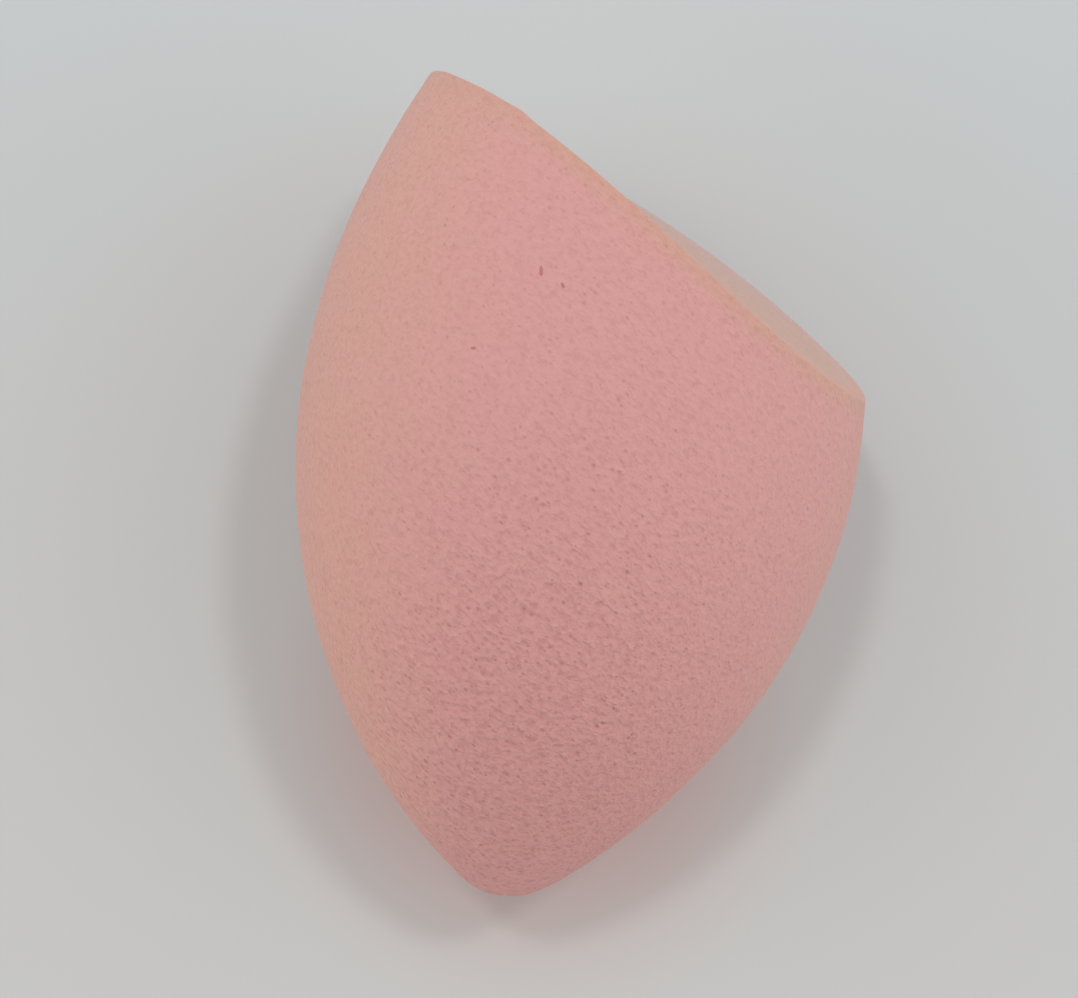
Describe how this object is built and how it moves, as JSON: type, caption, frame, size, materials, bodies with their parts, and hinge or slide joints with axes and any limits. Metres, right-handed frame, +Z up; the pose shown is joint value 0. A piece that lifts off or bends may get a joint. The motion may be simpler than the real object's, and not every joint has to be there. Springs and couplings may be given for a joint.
{
  "type": "makeup sponge",
  "caption": "Plump egg-shaped foam sponge with a blunt tip and a slanted sliced face, lying on its side, for blending makeup.",
  "frame": {"origin": "middle of the small flat on the underside on which the sponge rests, at the height of the table", "axes": "+Z up from the table, +Y from the tip towards the sliced end, +X towards the side where the slice comes nearest to the tip; the axis of the moulded form lies in the YZ plane and leans 7.5 degrees, tip down"},
  "size_m": [0.042, 0.0613, 0.0419],
  "materials": {
    "moulded_skin": "matt powder-pink polyurethane foam, close-pored where it formed against the mould",
    "foam_core": "matt open-celled polyurethane foam, bare where it was sliced"
  },
  "bodies": {
    "root": {"moulded_skin": "moulded_skin", "foam_core": "foam_core"}
  },
  "joints": []
}
